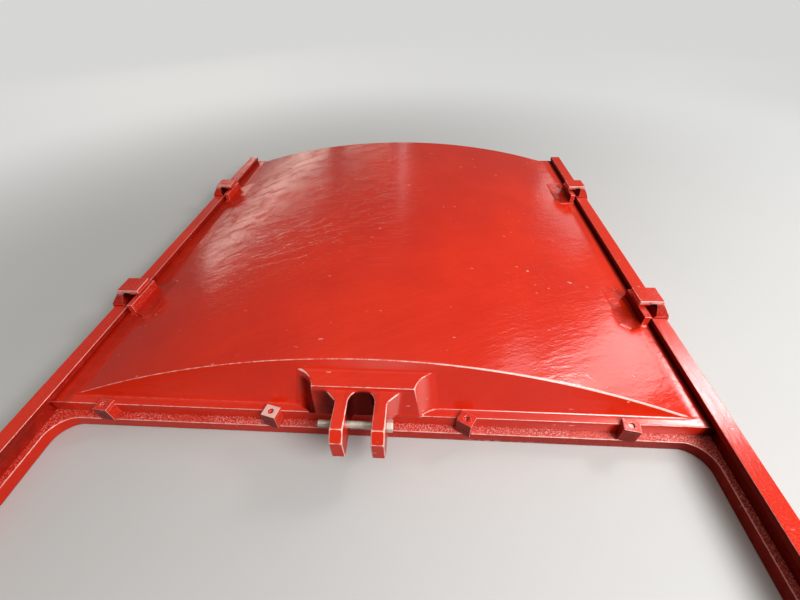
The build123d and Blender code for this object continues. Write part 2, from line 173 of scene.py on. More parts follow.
def enamel(name, grit=0.0, rough_above=None, strokes=None, turn=0.0, worn_and_highlit=0.88):
    """Glossy vermilion enamel brushed on iron. Brush strokes are drawn out along the axes and turned; under them
    is orange peel. Grit adds the grain of sand-rough iron, on all of it or above a level, with a painted sparkle
    of pale pink on its crests and painted shade in its hollows; what has such a level is also chipped along its
    bottom edge, where it was dragged. Nicks show as short pale strokes. Edges are pale, part abraded paint and
    part painted highlight. Scuffed paint has long scratches, and crinkles that run where a drawn-out noise
    crosses its middle. Corners and faces turned from the light that the mesh marks get painted shade: a dark red
    that mirrors only its own dark red, as a metal does."""
    material, shader, place = finish(name)
    scuffs = trait(place, "scuffs")
    cloud = noise(place, 2.6, 4.0)
    patches = noise(place, 6.0, 2.0)
    mottle = noise(place, 38.0, 3.0)
    long_strokes = noise(place, 15.0, 4.0, 0.62, strokes or unstretched, turn)
    fine_strokes = noise(place, 105.0, 3.0, 0.6, strokes or unstretched, -turn / 4)
    peel = noise(place, 140.0, 2.0)
    nick = between(noise(place, 62.0, 1.0, 0.5, (2.2, 1.0, 1.0)), 0.735, 0.76) * between(patches, 0.50, 0.60)
    crinkle = 0.0
    if strokes:
        scratch = noise(place, 420.0, 0.0, 0.5, [1.0 + 14.0 * (times - 1.0) for times in strokes], turn / 5)
        nick = nick + between(scratch, 0.70, 0.75) * scuffs
        from_middle = noise(place, 18.0, 2.0, 0.5, strokes, turn) - 0.5
        crinkle = 1 - between(place.maths("ABSOLUTE", from_middle), 0.0, 0.06)
        crinkle = crinkle * between(noise(place, 7.0, 2.0), 0.38, 0.50) * between(scuffs, 0.0, 0.55)
    rough = grit
    if rough_above is not None:
        level = place.node("ShaderNodeSeparateXYZ", {}, {0: place}, "Z")
        along = place.node("ShaderNodeSeparateXYZ", {}, {0: place}, "X")
        rough = between(level, rough_above - 0.002, rough_above) * grit
        dragged = between(along, 0.20, 0.32) * (1 - between(along, 0.46, 0.58))
        dragged = dragged * (1 - between(level, 0.004, 0.013))
        nick = nick + between(noise(place, 46.0, 3.0, 0.7), 0.49, 0.54) * dragged * 1.7
    speck = (1 - between(spots(place, 34.0), 0.05, 0.085)) * between(noise(place, 9.0, 1.0), 0.60, 0.68)
    # Pale edges: part abraded paint, part painted highlight.
    rubbed_and_highlit = between(trait(place, "wear") * (0.55 + 0.9 * noise(place, 60.0, 4.0, 0.7)), 0.62, 0.98) * worn_and_highlit
    # Painted shade where the mesh marks it; Metallic below makes it mirror only its own dark red.
    painted_shade = between(trait(place, "painted_shade") * (0.75 + 0.5 * mottle), 0.05, 0.95)
    grain = noise(place, 225.0, 2.0, 0.6)
    # The grain's crests get a painted sparkle of pale pink, its hollows painted shade.
    crest = between(grain, 0.50, 0.64) * rough
    hollow = (1 - between(grain, 0.36, 0.48)) * rough
    painted_sparkle = crest * (0.20 + 0.32 * between(patches, 0.40, 0.58))
    colour = mixed(between(cloud, 0.30, 0.70) * 0.75 + mottle * 0.25, vermilion, deep_vermilion)
    # Painted sheen of pale pink where the mesh marks it.
    colour = mixed(painted_sparkle + trait(place, "bloom_and_painted_sheen") * 0.21, colour, pale_paint_and_highlight)
    colour = mixed(hollow * 0.45, colour, scale_and_shade_brown)
    colour = mixed(nick * 0.45, colour, pale_paint_and_highlight)
    colour = mixed(speck * 0.75, colour, scale_and_shade_brown)
    colour = mixed(rubbed_and_highlit, colour, pale_paint_and_highlight)
    colour = mixed(painted_shade, colour, shaded_paint)
    height = long_strokes * brush_depth + fine_strokes * (bristle_depth + scuffs * scuff_depth)
    height = height + peel * peel_depth + grain * rough * grain_depth
    height = height - (speck + nick) * chip_depth + crinkle * crinkle_depth
    shader.inputs["Coat Roughness"].default_value = 0.14
    shader.inputs["Coat IOR"].default_value = 1.45
    feed(
        shader,
        Base_Color=colour,
        Metallic=painted_shade,
        Roughness=0.11 + cloud * 0.07 + mottle * 0.05 + speck * 0.3 + painted_shade * 0.25 + crinkle * 0.12,
        Coat_Weight=(0.2 + crest * 0.5 - speck * 0.2) * (1 - painted_shade) * (1 - crinkle * 0.6),
        Normal=relief(height),
    )
    return material


small_arc = 0.006


def outline(corners, radii, steps=5):
    """Closed outline of straight runs joined by arcs. An arc's middle lies on its corner's bisector, at radius /
    cos(half the turn) from it, and its normals turn evenly from one run's to the next's. Gives the points, the
    outward normals, and how pale the edge is, part abraded paint and part painted highlight: one half way round a
    small convex arc, zero on the runs."""
    corner = np.array(corners, float)
    radius = np.broadcast_to(np.array(radii, float), len(corner))[:, None, None]
    run = np.roll(corner, -1, axis=0) - corner
    run /= np.linalg.norm(run, axis=1, keepdims=True)
    after = np.stack([run[:, 1], -run[:, 0]], axis=1)[:, None]
    before = np.roll(after, 1, axis=0)
    turn = np.sign(before[..., 0] * after[..., 1] - before[..., 1] * after[..., 0])[..., None]
    share = np.linspace(0, 1, steps + 1)[None, :, None]
    normal = before * (1 - share) + after * share
    normal /= np.linalg.norm(normal, axis=2, keepdims=True)
    middle = corner[:, None] - turn * radius * (before + after) / (1 + (before * after).sum(2, keepdims=True))
    worn_and_highlit = np.sin(math.pi * share[..., 0]) * (turn[..., 0] > 0) * (radius[..., 0] < small_arc)
    return (middle + turn * radius * normal).reshape(-1, 2), normal.reshape(-1, 2), worn_and_highlit.reshape(-1)


def grid_faces(index):
    """Quads between the neighbours of a grid of indices."""
    return np.stack([index[:-1, :-1], index[:-1, 1:], index[1:, 1:], index[1:, :-1]], axis=2).reshape(-1, 4)


def ring_faces(rings):
    """Quads between closed rings of indices, a ring to a row."""
    return grid_faces(np.concatenate([rings, rings[:, :1]], axis=1))


def carried(profile, near, far, edge, axes, holes=(), bands=(), steps=4):
    """Solid whose outline is carried straight from near to far. Round each end's edge the outline is inset by
    edge * (1 - sin a) and goes on by edge * (1 - cos a), for a from 0 to 90 degrees. near may hold a value a
    point, for a slanted end, whose flat faces then lie between the levels in bands. axes says which of x, y and
    z the outline's two directions and the line are."""
    axes = list(axes)
    angle = np.linspace(0, math.pi / 2, steps + 1)[:, None]
    out = np.concatenate([np.sin(angle), np.sin(angle)[::-1]])
    facing = np.concatenate([-np.cos(angle), np.cos(angle)[::-1]])
    points, normals, wear, quads, rings, first = [], [], [], [], [], 0
    for flat, normal, worn_and_highlit in (profile, *holes):
        ring = np.empty((len(out), len(flat), 3))
        ring[..., axes[:2]] = flat - edge * (1 - out[..., None]) * normal
        ring[: len(angle), :, axes[2]] = near + edge * (1 - np.cos(angle))
        ring[len(angle):, :, axes[2]] = (far - edge * (1 - np.cos(angle)))[::-1]
        pointing = np.empty_like(ring)
        pointing[..., axes[:2]] = out[..., None] * normal
        pointing[..., axes[2]] = facing
        index = first + np.arange(ring.shape[0] * ring.shape[1]).reshape(ring.shape[:2])
        quads.append(ring_faces(index))
        points.append(ring.reshape(-1, 3))
        normals.append(pointing.reshape(-1, 3))
        wear.append(np.maximum(worn_and_highlit, 2 * out * np.abs(facing)).reshape(-1))
        rings.append(index)
        first += index.size
    caps = [rings[0][0], rings[0][-1]]
    if holes:
        loops = [[(u, v, 0) for u, v in flat.tolist()] for flat, _, _ in (profile, *holes)]
        cuts = np.array(tessellate_polygon(loops))
        caps = [*np.concatenate([index[0] for index in rings])[cuts]]
        caps += [*np.concatenate([index[-1] for index in rings])[cuts]]
    if bands:
        level = profile[0][:, 1]
        levels = (level.min(), *bands, level.max())
        slack = 1e-9
        within = [(level >= low - slack) & (level <= high + slack) for low, high in zip(levels, levels[1:])]
        caps = [rings[0][0][band] for band in within] + [rings[0][-1]]
    return {
        "points": np.concatenate(points),
        "normals": np.concatenate(normals),
        "wear": np.concatenate(wear),
        "quads": np.concatenate(quads),
        "caps": caps,
    }


def piece(name, shells, nodes, body, material):
    """Object made of closed shells. A normal that a shell leaves out is worked out from its faces, and a trait
    that it leaves out is zero."""
    start = np.cumsum([0] + [len(shell["points"]) for shell in shells])
    faces = []
    for shell, first in zip(shells, start):
        faces += (shell["quads"] + first).tolist()
        faces += [(np.asarray(cap) + first).tolist() for cap in shell["caps"]]
    mesh = bpy.data.meshes.new(name)
    mesh.from_pydata(np.concatenate([shell["points"] for shell in shells]).tolist(), [], faces)
    outward = bmesh.new()
    outward.from_mesh(mesh)
    bmesh.ops.recalc_face_normals(outward, faces=outward.faces)
    outward.to_mesh(mesh)
    outward.free()
    mesh.shade_smooth()
    own = np.empty(3 * len(mesh.vertices))
    mesh.vertices.foreach_get("normal", own)
    given = np.concatenate([shell.get("normals", np.full_like(shell["points"], np.nan)) for shell in shells])
    mesh.normals_split_custom_set_from_vertices(np.where(np.isnan(given), own.reshape(-1, 3), given).tolist())
    for name_of_trait in ("wear", "painted_shade", "bloom_and_painted_sheen", "scuffs"):
        values = [shell.get(name_of_trait, np.zeros(len(shell["points"]))) for shell in shells]
        mesh.attributes.new(name_of_trait, "FLOAT", "POINT").data.foreach_set("value", np.concatenate(values))
    mesh.materials.append(material)
    made = bpy.data.objects.new(name, mesh)
    scene.collection.objects.link(made)
    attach(made, body)
    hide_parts(*nodes)
    return made


beam_width = 0.070
opening_height = 1.8
opening_half = 0.9
corner_radius = 0.070
frame_edge = 0.004
frame_low, frame_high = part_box("frame_casting")
rail_low, rail_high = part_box("right_guide_rail")
y_opening_sill = frame_high.y - beam_width
y_opening_top = y_opening_sill - opening_height
y_beam = y_opening_top - beam_width
frame_outline = outline(
    [
        (frame_high.x, frame_low.y),
        (frame_high.x, frame_high.y),
        (-frame_high.x, frame_high.y),
        (-frame_high.x, frame_low.y),
        (-rail_low.x, frame_low.y),
        (-rail_low.x, y_beam),
        (rail_low.x, y_beam),
        (rail_low.x, frame_low.y),
    ],
    [frame_edge] * 5 + [corner_radius] * 2 + [frame_edge],
    12,
)
waterway = outline(
    [
        (-opening_half, y_opening_top),
        (-opening_half, y_opening_sill),
        (opening_half, y_opening_sill),
        (opening_half, y_opening_top),
    ],
    frame_edge,
)
frame_paint = enamel("frame_enamel", grit=1.0, rough_above=frame_high.z)
frame_shell = carried(frame_outline, frame_low.z, frame_high.z, frame_edge, (0, 1, 2), holes=[waterway])
facing_up = frame_shell["normals"][:, 2]
to_right = np.clip(frame_shell["points"][:, 0] / 0.8, -0.5, 1)
# Painted shade on the ring's upright faces, heavier to the right; a painted sheen of pale pink on its top,
# brighter to the right.
frame_shell["painted_shade"] = (0.12 + 0.4 * to_right) * (np.abs(facing_up) < 0.6)
frame_shell["bloom_and_painted_sheen"] = (0.25 + 0.38 * to_right) * (facing_up > 0.6)
piece("frame_ring", [frame_shell], ["frame_casting"], "frame", frame_paint)


# Bronze sealing strips, machined flat, let into grooves in the frame and in the back of the leaf.
bright_bronze = (0.62, 0.39, 0.16, 1)
brown_bronze = (0.30, 0.17, 0.07, 1)
rubbed_bronze = (0.8, 0.6, 0.34, 1)


def bronze():
    """Machined bronze: fine tool lines along the strips, duller and browner in patches."""
    material, shader, place = finish("sealing_bronze")
    lines = noise(place, 900.0, 2.0, 0.5, (30.0, 30.0, 1.0))
    tarnish = between(noise(place, 14.0, 4.0), 0.42, 0.68)
    colour = mixed(tarnish * 0.7, bright_bronze, brown_bronze)
    colour = mixed(trait(place, "wear") * 0.4, colour, rubbed_bronze)
    shader.inputs["Metallic"].default_value = 1.0
    feed(shader, Base_Color=colour, Roughness=0.26 + tarnish * 0.22, Normal=relief(lines * 0.00004))
    return material


def bar(node, axis, radius, edge):
    """Straight bar that fills a node's box, with rounded long edges and ends."""
    low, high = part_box(node)
    across, up = [a for a in range(3) if a != axis]
    corners = [(low[across], low[up]), (high[across], low[up]), (high[across], high[up]), (low[across], high[up])]
    return carried(outline(corners, radius, 3), low[axis], high[axis], edge, (across, up, axis), steps=3)


bronze_edge = 0.0006
strip_bronze = bronze()
for body in ("frame", "leaf"):
    for side, axis in (("left", 1), ("right", 1), ("top", 0), ("sill", 0)):
        strip = bar(f"{body}_seal_{side}", axis, bronze_edge, bronze_edge)
        piece(f"{body}_strip_{side}", [strip], [f"{body}_seal_{side}"], body, strip_bronze)


# Guide rails. Planed bars seated on the frame's sides; a lip along the inner edge holds the leaf in its groove.
def smooth(share):
    """Smooth step of a share: zero up to 0, one from 1."""
    share = np.clip(share, 0, 1)
    return share * share * (3 - 2 * share)


sides = {"left": -1, "right": 1}
rail_lip = 0.019
rail_reach = 0.020
rail_edge, rail_end_edge = 0.0028, 0.003
rail_shade = {"left": 0.5, "right": 0.9}
rail_paint = enamel("rail_enamel", grit=0.12, strokes=(1.0, 6.0, 1.0))
rail_corners = np.array(
    [
        (rail_low.x + rail_reach, rail_low.z),
        (rail_high.x, rail_low.z),
        (rail_high.x, rail_high.z),
        (rail_low.x, rail_high.z),
        (rail_low.x, rail_high.z - rail_lip),
        (rail_low.x + rail_reach, rail_high.z - rail_lip),
    ]
)
for name, side in sides.items():
    section = outline(rail_corners[::side] * (side, 1), rail_edge)
    rail = carried(section, rail_low.y, rail_high.y, rail_end_edge, (0, 2, 1))
    # Painted shade on the rail's inner faces, deep on the right rail.
    rail["painted_shade"] = rail_shade[name] * smooth(-side * rail["normals"][:, 0] * 2 - 0.6)
    piece(f"{name}_rail_bar", [rail], [f"{name}_guide_rail"], "frame", rail_paint)


# Leaf. One grey iron casting: a flange, a barrel panel sprung from its side ledges, two end walls that lean
# inwards, and three arched ribs inside the hollow back. Brushed with the same enamel.
flange = 0.045
ledge = 0.027
side_ledge = 0.058
shell_wall = 0.022
lean = math.tan(math.radians(20.5))
ear_reach = 0.134
leaf_edge = 0.003
foot_round = 0.008
top_round = 0.0045
groove_edge = 0.002
hollow_bevel = 0.0006
rib_thickness = 0.018
rib_depth = 0.060
rib_steps = 61
haunch = 0.84
fillet_rows, wall_rows, panel_rows = 7, 8, 80
steep_reach, steep_rows = 0.062, 22
wall_chalk = 0.118
leaf_low, leaf_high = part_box("gate_leaf")
y_near = leaf_low.y + ear_reach
y_far = leaf_high.y
y_wall = y_near + ledge
z_back = leaf_low.z
z_ledge = z_back + flange
rise = leaf_high.z - z_ledge
springing = leaf_high.x - side_ledge
barrel = (springing**2 + rise**2) / (2 * rise)
wall_foot = shell_wall / math.cos(math.atan(lean))


def arch(x, soften=0.004):
    """Height of the panel over the ledge: a circle through both springings and the crown, a, run out into the
    ledge as (a + sqrt(a * a + soften * soften)) / 2."""
    circle = np.sqrt(barrel**2 - x**2) - (barrel - rise)
    return (circle + np.sqrt(circle**2 + soften**2)) / 2 - soften**2 / (4 * rise)


def swell(x, y, depth=0.0005):
    """Slight hollows of the cast panel, from zero down: a sum of long sine waves in scattered directions."""
    chance = np.random.default_rng(7)
    waves = np.zeros(np.broadcast(x, y).shape)
    for _ in range(14):
        along = chance.uniform(0, 2 * math.pi)
        pitch = 2 * math.pi / chance.uniform(0.16, 0.6)
        waves = waves + np.sin(pitch * (x * math.cos(along) + y * math.sin(along)) + chance.uniform(0, 6.3))
    return depth * (waves / 14 - 1)


def bend(start, corner, end, count):
    """Rows along a quadratic curve from start to end that leaves and meets the lines to the corner."""
    share = np.linspace(0, 1, count)[:, None]
    start, corner, end = start[:, None], corner[:, None], end[:, None]
    return start * (1 - share) ** 2 + corner * (2 * share * (1 - share)) + end * share**2


def loop(index):
    """The border of a grid of indices, once round."""
    return np.concatenate([index[0, :-1], index[:-1, -1], index[-1, :0:-1], index[:0:-1, 0]])


def bell(distance, reach):
    """A patch that is one in its middle and fades out as exp(-u * u), where u is the distance over the reach."""
    return np.exp(-((distance / reach) ** 2))


def leaf_marks(x, y, z, worn_and_highlit_rows):
    """Marks on the leaf's top. The wall's edges are pale, part abraded paint and part painted highlight, more to
    the right. Painted shade darkens the flange beside the rails, deeper on the right. A painted sheen of pale
    pink lies on the near ledge towards the right, and a little on the wall, over the boss. The panel is scuffed
    in an oval on the left, and faintly near its right corner."""
    on_wall = np.clip(arch(x) / 0.01, 0, 1)
    near_ledge = smooth((y_wall - y) / 0.01)
    painted_ledge_sheen = (0.7 * smooth((x - 0.1) / 0.8) + 0.9 * smooth((x - 0.78) / 0.12)) * near_ledge
    over_boss = bell(x - 0.06, 0.13) * smooth((z - z_ledge - wall_chalk) / 0.01) * (y < y_wall + 0.06)
    scuffed = bell(x + 0.45, 0.44) * bell(y - 0.78, 0.55) * (z > z_ledge + 0.02)
    return {
        "wear": worn_and_highlit_rows * on_wall * (0.85 + 1.3 * smooth((x - 0.05) / 0.6)),
        "painted_shade": 0.9 * smooth((x - 0.950) / 0.034) + 0.38 * smooth((-x - 0.905) / 0.045),
        "bloom_and_painted_sheen": np.maximum(painted_ledge_sheen, 0.45 * over_boss),
        "scuffs": scuffed + 0.14 * bell(x - 0.62, 0.20) * bell(y - 0.02, 0.25),
    }


def leaf_casting():
    """Closed shell of the leaf. The top is a grid: each column is a section along Y, from the ledge round the
    fillet at the wall's foot, up the leaning wall, over its rounded edge, along the panel and down the far side.
    Rings run from its border round the ledge's edge, under the flange and into the hollow, whose roof is a grid
    of as many rows: the lower of the inner barrel and the two end walls, which rise by 1 / lean."""
    half = np.concatenate([np.linspace(0, haunch, 43), np.linspace(haunch, leaf_high.x - leaf_edge, 32)[1:]])
    x = np.concatenate([-half[:0:-1], half])
    high = arch(x)
    foot = np.stack([np.full_like(x, y_wall), np.zeros_like(x)])
    top = np.stack([y_wall + lean * high + 0.004 * np.exp(-high / 0.004), high])
    wall = top - foot
    wall_length = np.hypot(*wall)
    wall_start = foot + wall * np.minimum(0.45, foot_round / wall_length)
    wall_end = top - wall * np.minimum(0.45, top_round / wall_length)
    ledge_start = foot * 0 + [[y_near + leaf_edge], [0]]
    ledge_end = foot - [[foot_round], [0]]
    panel_start = top + [[top_round], [0]]
    along_ledge = np.array([0, 0.06, 0.5, 0.94])[:, None]
    up_wall = np.linspace(0, 1, wall_rows)[1:-1, None]
    rows = [
        ledge_start[:, None] + along_ledge * (ledge_end - ledge_start)[:, None],
        bend(ledge_end, foot, wall_start, fillet_rows),
        wall_start[:, None] + (wall_end - wall_start)[:, None] * up_wall,
        bend(wall_end, top, panel_start, fillet_rows),
    ]
    y_end, z_end = np.concatenate(rows, axis=1)
    middle = (y_near + y_far) / 2
    panel_share = np.concatenate([[0.003, 0.01], np.linspace(0.02, 0.98, panel_rows), [0.99, 0.997]])[:, None]
    y_panel = panel_start[0] + panel_share * 2 * (middle - panel_start[0])
    y = np.concatenate([y_end, y_panel, 2 * middle - y_end[::-1]])
    z = np.concatenate([z_end, np.broadcast_to(high, y_panel.shape), z_end[::-1]])
    z = z_ledge + z + np.clip(z / 0.02, 0, 1) * swell(x, y)
    # Pale rows round the wall's top edge at both ends, part abraded paint and part painted highlight, and a
    # painted highlight along the fillet at its foot.
    worn_and_highlit_rows = np.zeros(len(y))
    worn_and_highlit_rows[len(y_end) - fillet_rows: len(y_end)] = (0.3, 0.6, 0.85, 1.0, 0.85, 0.6, 0.3)
    worn_and_highlit_rows[len(along_ledge) + fillet_rows // 2] = 0.9
    worn_and_highlit_rows += worn_and_highlit_rows[::-1]
    marks = leaf_marks(x, y, z, worn_and_highlit_rows[:, None])
    top_points = np.stack([np.broadcast_to(x, y.shape), y, z], axis=2)
    index = np.arange(y.size).reshape(y.shape)
    border = loop(index)
    away = np.zeros((*y.shape, 3))
    away[:, 0, 0], away[:, -1, 0], away[0, :, 1], away[-1, :, 1] = -1, 1, -1, 1
    away = away.reshape(-1, 3)[border]
    up = np.array([0.0, 0.0, 1.0])
    around = top_points.reshape(-1, 3)[border] * (1, 1, 0)
    rings, ring_normals, ring_wear_and_highlight = [], [], []

    def ring(base, push, level, normal, worn_and_highlit=0.0):
        rings.append(base + away * push + up * level)
        ring_normals.append(np.broadcast_to(normal, base.shape))
        ring_wear_and_highlight.append(np.full(len(base), worn_and_highlit))

    for angle in np.radians([22.5, 45, 67.5, 90]):
        normal = away * math.sin(angle) + up * math.cos(angle)
        level = z_ledge - leaf_edge * (1 - math.cos(angle))
        ring(around, leaf_edge * math.sin(angle), level, normal, math.sin(2 * angle))
    ring(around, leaf_edge, z_back + groove_edge, away)
    ring(around, leaf_edge - hollow_bevel, z_back + hollow_bevel, (away - up) / math.sqrt(2))
    ring(around, leaf_edge - groove_edge, z_back, -up)

    inner_radius = barrel - shell_wall
    x_pocket = math.sqrt(inner_radius**2 - (barrel - rise) ** 2)
    y_pocket = (y_wall + wall_foot, 2 * middle - y_wall - wall_foot)
    pocket_length = y_pocket[1] - y_pocket[0]
    x_in = x * x_pocket / x[-1]
    steep = np.linspace(0, steep_reach, steep_rows)
    long_rows = np.linspace(steep_reach, pocket_length - steep_reach, len(y) - 2 * steep_rows + 2)[1:-1]
    y_in = y_pocket[0] + np.concatenate([steep, long_rows, pocket_length - steep[::-1]])
    roof = np.sqrt(inner_radius**2 - x_in**2) - (barrel - rise)
    slope = np.minimum(y_in - y_pocket[0], y_pocket[1] - y_in)[:, None] / lean
    z_in = z_ledge + np.minimum(roof, slope)
    hollow = np.stack([*np.broadcast_arrays(x_in, y_in[:, None], z_in)], axis=2)
    mouth = hollow.reshape(-1, 3)[border] * (1, 1, 0)
    ring(mouth, groove_edge, z_back, -up)
    ring(mouth, hollow_bevel, z_back + hollow_bevel, -(away + up) / math.sqrt(2))
    ring(mouth, 0.0, z_back + groove_edge, -away)

    ring_index = y.size + np.arange(len(rings) * len(border)).reshape(len(rings), -1)
    hollow_index = ring_index[-1, -1] + 1 + index
    loops = np.concatenate([border[None], ring_index, hollow_index.ravel()[border][None]])
    unmarked = np.zeros(ring_index.size + y.size)
    shell = {kind: np.append(np.broadcast_to(mark, y.shape), unmarked) for kind, mark in marks.items()}
    shell["wear"][ring_index.ravel()] = np.concatenate(ring_wear_and_highlight)
    shell["painted_shade"][ring_index.ravel()] = np.tile(shell["painted_shade"][border], len(rings))
    unshaped = np.full((y.size, 3), np.nan)
    return shell | {
        "points": np.concatenate([top_points.reshape(-1, 3), *rings, hollow.reshape(-1, 3)]),
        "normals": np.concatenate([unshaped, *ring_normals, unshaped]),
        "quads": np.concatenate([grid_faces(index), ring_faces(loops), grid_faces(hollow_index)]),
        "caps": [],
    }


def rib(y):
    """Arched rib of the hollow: the strip between two circles about the barrel's axis, cut off level with the
    ledge."""
    level = barrel - rise
    outer, inner = barrel - shell_wall / 2, barrel - shell_wall - rib_depth
    sweep = [math.acos(level / radius) for radius in (outer, inner)]
    upper = math.pi / 2 - np.linspace(sweep[0], -sweep[0], rib_steps)
    lower = math.pi / 2 - np.linspace(-sweep[1], sweep[1], rib_steps)
    normal = np.stack([np.cos(np.append(upper, lower)), np.sin(np.append(upper, lower))], axis=1)
    radius = np.repeat([outer, inner], rib_steps)[:, None]
    facing = np.repeat([1, -1], rib_steps)[:, None]
    section = (normal * radius + (0, z_ledge - level), normal * facing, np.zeros(2 * rib_steps))
    return carried(section, y - rib_thickness / 2, y + rib_thickness / 2, leaf_edge, (0, 2, 1))


# Wedge pads. Four raised seats cast on the leaf's sides, flat under the wedge blocks and then rising with the
# barrel until they run into it; their ends reach out to a shoulder beside the block.
pad_shoulder = 0.050
pad_overrun = 0.042
pad_margin = 0.008
pad_climb = 0.0185
pad_blend = 0.009
pad_skirt = 0.006
pad_dip, pad_skin = 0.0012, 0.0004
wedge_places = [(f"{name}_{row}", side) for name, side in sides.items() for row in ("head", "sill")]
block_low, block_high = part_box("right_head_wedge_block")
pad_end = block_low.x - 0.089
pad_far = block_high.x + pad_margin


def wedge_pad(side, y_middle, reach):
    """Seat on the leaf: its height is the panel's, plus the part of the pad's own height above it that a smooth
    step inside the pad's outline lets through. The border dips under the panel and goes down inside."""
    x = np.linspace(pad_end - pad_skirt, pad_far + pad_skirt, 36)
    y = np.linspace(-reach - pad_skirt, reach + pad_skirt, 64)[:, None]
    flat_end = block_low.x - pad_margin
    own = block_low.z - z_ledge + np.clip((flat_end - x) / (flat_end - pad_end), 0, 1) * pad_climb
    corners = [pad_end, block_low.x - pad_shoulder, block_low.x]
    extent = np.interp(x, corners, [reach - pad_overrun / 2, reach, reach - pad_overrun + pad_margin])
    share = smooth(np.minimum(np.minimum(extent - np.abs(y), x - pad_end), pad_far - x) / pad_blend)
    base = arch(x) - pad_dip
    z = z_ledge + base + share * (np.maximum(own, base + pad_skin) - base)
    points = np.stack(np.broadcast_arrays(side * x, y + y_middle, z), axis=2)
    index = np.arange(z.size).reshape(z.shape)
    border = loop(index)
    skirt = points.reshape(-1, 3)[border] - (0, 0, pad_skirt)
    skirt_index = z.size + np.arange(len(border))
    # Painted shade on the pad beside the block: over its near half on the right, over all of it on the left.
    shade = 0.45 * smooth(0.8 - y / 0.06) if side > 0 else 0.34
    painted_shade = shade * smooth(share * 3) * (x < block_low.x + 0.03)
    return {
        "points": np.concatenate([points.reshape(-1, 3), skirt]),
        "painted_shade": np.append(painted_shade.ravel(), np.zeros(len(border))),
        "quads": np.concatenate([grid_faces(index), ring_faces(np.stack([border, skirt_index]))]),
        "caps": [skirt_index],
    }


# Lifting boss and ears. Cast in one with the leaf's near wall: a block with flared sides and a front that leans
# back, and two ears with a round root between them, a chamfered root outside and a cut nose. Wide soft fillets.
boss_top_width, boss_foot_width = 0.292, 0.322
boss_height = 0.116
boss_setback = 0.013
boss_flare = 0.066
ear_gap, ear_thickness = 0.073, 0.036
ear_root_width, ear_root_depth, ear_root_chamfer = 0.028, 0.038, 0.036
ear_foot_gap, ear_height, ear_nose = 0.006, 0.098, 0.027
sharp_edge, ear_edge, wide_fillet, ear_fillet = 0.003, 0.004, 0.009, 0.007
pin_clearance, bore_edge = 0.0004, 0.0015
skin_step = 0.0028
pin_low, pin_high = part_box("lifting_pin")
pin_radius = 0.010
z_ear_foot = z_ledge + ear_foot_gap
z_ear_top = z_ear_foot + ear_height
y_ear_front = leaf_low.y
y_pin = (pin_low.y + pin_high.y) / 2
z_pin = (pin_low.z + pin_high.z) / 2


def soft_min(a, b, width):
    """The smaller of two distances, rounded where they are within width of each other."""
    share = np.clip(0.5 + 0.5 * (b - a) / width, 0, 1)
    return b * (1 - share) + a * share - width * share * (1 - share)


def soft_max(a, b, width):
    """The larger of two distances, rounded where they are within width of each other."""
    return -soft_min(-a, -b, width)


def lug(x, y, z):
    """Distance-like field of boss and ears, negative inside. Wall and flare: where the wall's plane is depth d
    behind the boss's front, an arc of radius (flare^2 + d^2) / 2d leaves the wall and meets the front's corner.
    The ears are slabs with their root's shape in plan and a plane across the nose. Wall and ledge lie a little
    under the leaf's own faces, so that only the fillets that join them to boss and ears come through."""
    side = np.abs(x)
    climb = np.clip((z - z_ledge) / boss_height, 0, 1.3)
    wall = y_wall + lean * (z - z_ledge)
    front = y_near + boss_setback * climb
    corner = (boss_foot_width + (boss_top_width - boss_foot_width) * climb) / 2
    depth = wall - front
    radius = (boss_flare**2 + depth**2) / (2 * depth)
    tip = corner + boss_flare
    hidden = 0.0005 + 0.0025 * smooth((side - tip) / 0.020)
    flare = radius - np.hypot(np.minimum(side - tip, 0), y - (wall - radius))
    flare = np.where(side < tip, flare, wall - y) + 0.001 * smooth((side - tip) / 0.022 + 1)
    shelf = soft_min(wall + hidden - y, z - z_ledge - boss_height, wide_fillet)
    boss = soft_max(soft_max(front - y, flare, sharp_edge), shelf, sharp_edge)
    ledge_top = soft_max(z - z_ledge + hidden, y_near + hidden - y, sharp_edge)
    y_root = y_near + boss_setback * (z_ear_top - z_ledge) / boss_height
    y_slot = y_root - ear_root_depth
    outer = ear_gap / 2 + ear_thickness
    plan = soft_min(side - outer, (side - outer - (y - y_root + ear_root_chamfer)) / math.sqrt(2), ear_edge)
    slot_radius = (ear_root_width**2 + ear_root_depth**2) / (2 * ear_root_width)
    slot = np.hypot(side + slot_radius - ear_gap / 2, y - y_slot) - slot_radius
    slot = np.where(y < y_slot, side - ear_gap / 2, slot)
    nose = ((z - z_ear_top) - (y - y_ear_front - ear_nose)) / math.sqrt(2)
    ears = soft_max(plan, -slot, ear_edge)
    ears = soft_max(ears, y_ear_front - y, sharp_edge)
    ears = soft_max(ears, z - z_ear_top, ear_edge)
    ears = soft_max(ears, z_ear_foot - z, ear_edge)
    ears = soft_max(ears, nose, sharp_edge)
    ears = np.maximum(ears, y - wall)
    bore = np.hypot(y - y_pin, z - z_pin) - pin_radius - pin_clearance
    ears = soft_max(ears, -bore, bore_edge)
    whole = soft_min(soft_min(boss, ledge_top, wide_fillet), ears, ear_fillet)
    behind = y - wall - 0.010
    below = z_ledge - 0.004 - z
    above = z - z_ledge - boss_height - 0.014
    bounds = np.maximum(np.maximum(behind, below), np.maximum(above, side - tip - 0.022))
    return np.maximum(whole, bounds)


